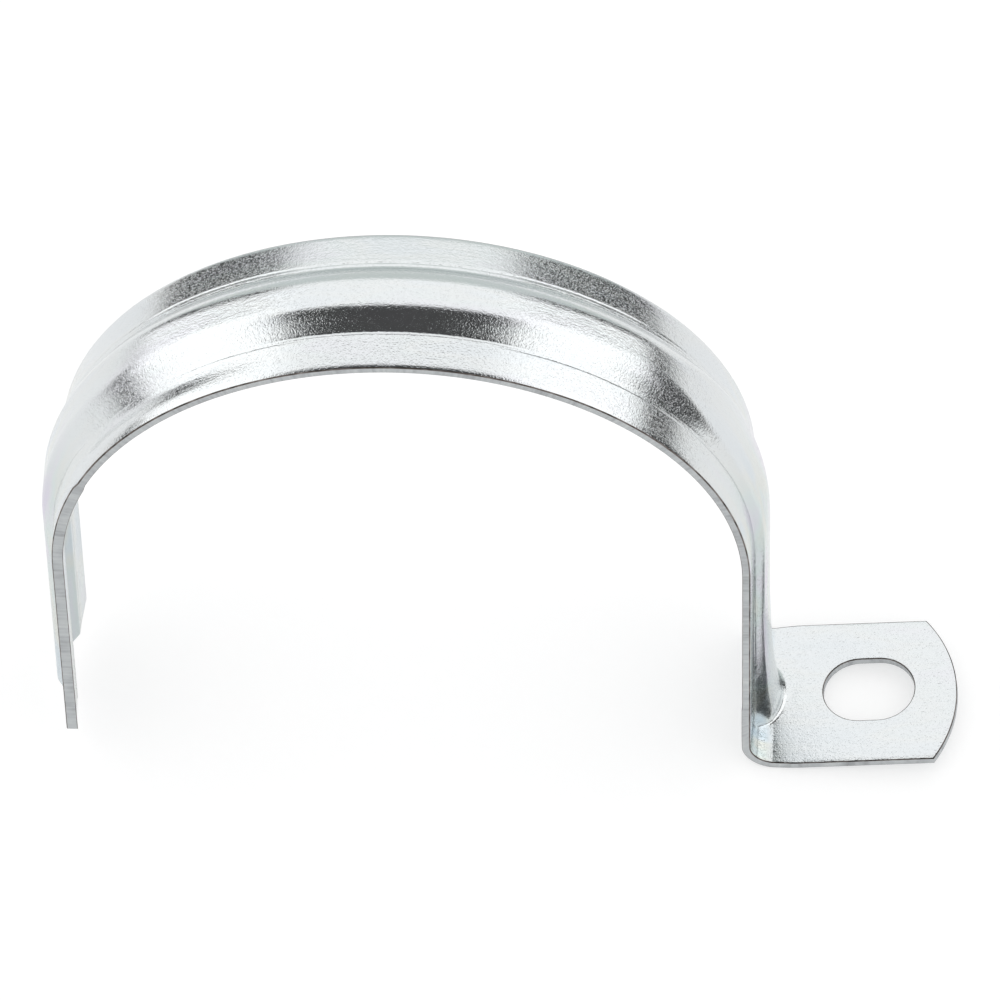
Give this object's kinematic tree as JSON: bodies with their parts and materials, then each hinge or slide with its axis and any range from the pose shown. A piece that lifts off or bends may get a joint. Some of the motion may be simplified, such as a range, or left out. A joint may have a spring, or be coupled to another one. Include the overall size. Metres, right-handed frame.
{
  "type": "conduit strap",
  "caption": "Pressed steel strap with a stiffening rib; it saddles a 63 mm conduit and one slotted foot is screwed to the wall.",
  "frame": {"origin": "on the conduit's axis, in the middle of the band's width", "axes": "+X from that axis to the screw foot, Y along the conduit, +Z away from the wall"},
  "size_m": [0.0856, 0.016, 0.0641],
  "materials": {
    "zinc_plated_steel": "bright zinc plate, fine rolling grain"
  },
  "bodies": {
    "root": {"strap": "zinc_plated_steel"}
  },
  "joints": []
}
